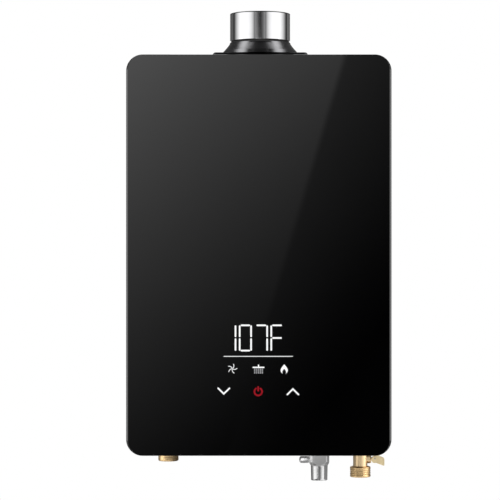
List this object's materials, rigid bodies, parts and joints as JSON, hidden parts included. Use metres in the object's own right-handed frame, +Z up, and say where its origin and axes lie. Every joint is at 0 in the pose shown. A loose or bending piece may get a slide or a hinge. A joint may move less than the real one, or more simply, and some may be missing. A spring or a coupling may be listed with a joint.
{
  "type": "tankless gas water heater",
  "caption": "Slim wall-hung gas water heater with a black glass front, touch display, round top flue collar and gas and water fittings below.",
  "frame": {"origin": "middle of the back face of the case, on the wall plane", "axes": "+X to the right seen from the front, +Y into the wall, +Z up along the flue"},
  "size_m": [0.335, 0.135, 0.6071],
  "materials": {
    "black_glass": "polished",
    "black_steel": "satin",
    "polished_steel": "polished",
    "screw_steel": "satin",
    "galvanised_steel": "satin",
    "clear_plastic": "gloss",
    "circuit_board": "gloss",
    "black_plastic": "matte",
    "grey_plastic": "matte",
    "gasket_rubber": "matte",
    "copper": "satin",
    "brass": "satin",
    "cast_aluminium": "satin",
    "nickel_brass": "satin",
    "white_ceramic": "gloss",
    "plunger_iron": "satin",
    "coil_winding": "matte"
  },
  "bodies": {
    "casing": {"chassis": "black_steel", "front_cover": "black_steel", "glass_panel": "black_glass", "cord_bushing": "black_plastic", "display_lightguide": "clear_plastic", "display_board": "circuit_board", "display_housing": "black_plastic", "flue_gasket": "gasket_rubber", "flue_base": "black_steel", "flue_sleeve": "polished_steel", "fan_volute": "galvanised_steel", "fan_motor": "galvanised_steel", "exhaust_hood": "galvanised_steel", "exchanger_fins": "copper", "exchanger_tubes": "copper", "exchanger_headers": "copper", "combustion_chamber": "copper", "chamber_brackets": "galvanised_steel", "burner_frame": "galvanised_steel", "burner_bars": "screw_steel", "electrode_insulators": "white_ceramic", "electrode_rods": "screw_steel", "gas_manifold": "cast_aluminium", "gas_nozzles": "brass", "gas_valve_body": "cast_aluminium", "gas_valve_coils": "coil_winding", "gas_pipe": "cast_aluminium", "gas_valve_bracket": "galvanised_steel", "gas_inlet_fitting": "brass", "cold_inlet_fitting": "nickel_brass", "flow_sensor_body": "brass", "turbine_axle": "grey_plastic", "flow_pickup": "black_plastic", "cold_pipe": "copper", "hot_pipe": "copper", "hot_outlet_fitting": "brass", "relief_cap": "brass", "relief_spring": "screw_steel", "control_box": "grey_plastic", "main_board": "circuit_board", "control_lid": "grey_plastic", "spark_module": "black_plastic", "air_switch": "black_plastic", "overheat_cutout": "black_plastic"},
    "fan": {"fan_impeller": "galvanised_steel", "fan_shaft": "screw_steel"},
    "shutoff_plunger": {"gas_shutoff_plunger": "plunger_iron"},
    "modulating_plunger": {"gas_modulating_plunger": "plunger_iron"},
    "turbine": {"flow_turbine": "grey_plastic"},
    "drain_seal": {"drain_plug_seal": "gasket_rubber"},
    "drain_screw": {"drain_plug": "nickel_brass"},
    "stem": {"relief_stem": "brass"},
    "lever": {"relief_lever": "brass", "relief_pin": "screw_steel"}
  },
  "joints": [
    {"name": "fan_spin", "type": "hinge", "parent": "casing", "child": "fan", "pos_m": [-0.026, -0.06, 0.182], "axis": [0, 1, 0], "continuous": true},
    {"name": "gas_shutoff_stroke", "type": "slide", "parent": "casing", "child": "shutoff_plunger", "axis": [0, -1, 0], "range_m": [0, 0.003], "stiffness_N_per_m": 300, "springref_m": -0.002},
    {"name": "gas_modulating_stroke", "type": "slide", "parent": "casing", "child": "modulating_plunger", "axis": [0, -1, 0], "range_m": [0, 0.002], "stiffness_N_per_m": 300, "springref_m": -0.002},
    {"name": "turbine_spin", "type": "hinge", "parent": "casing", "child": "turbine", "pos_m": [0.0789, -0.062, -0.212], "axis": [0, 0, 1], "continuous": true},
    {"name": "drain_plug_advance", "type": "slide", "parent": "casing", "child": "drain_seal", "axis": [-1, 0, 0], "range_m": [0, 0.005]},
    {"name": "drain_plug_turn", "type": "hinge", "parent": "drain_seal", "child": "drain_screw", "pos_m": [0.058, -0.062, -0.2662], "axis": [-1, 0, 0], "range_deg": [0, 1440]},
    {"name": "relief_stem_lift", "type": "slide", "parent": "casing", "child": "stem", "axis": [1, 0, 0], "range_m": [0, 0.000866], "stiffness_N_per_m": 400, "springref_m": -0.005, "deforming": ["relief_spring"]},
    {"name": "relief_lever_turn", "type": "hinge", "parent": "stem", "child": "lever", "pos_m": [0.15125, -0.062, -0.2645], "axis": [0, 1, 0], "range_deg": [0, 35]}
  ],
  "couplings": [
    {"joint": "drain_plug_turn", "follows": "drain_plug_advance", "rad_per_m": 5026.5},
    {"joint": "relief_lever_turn", "follows": "relief_stem_lift", "rad_per_m": 705.38}
  ]
}
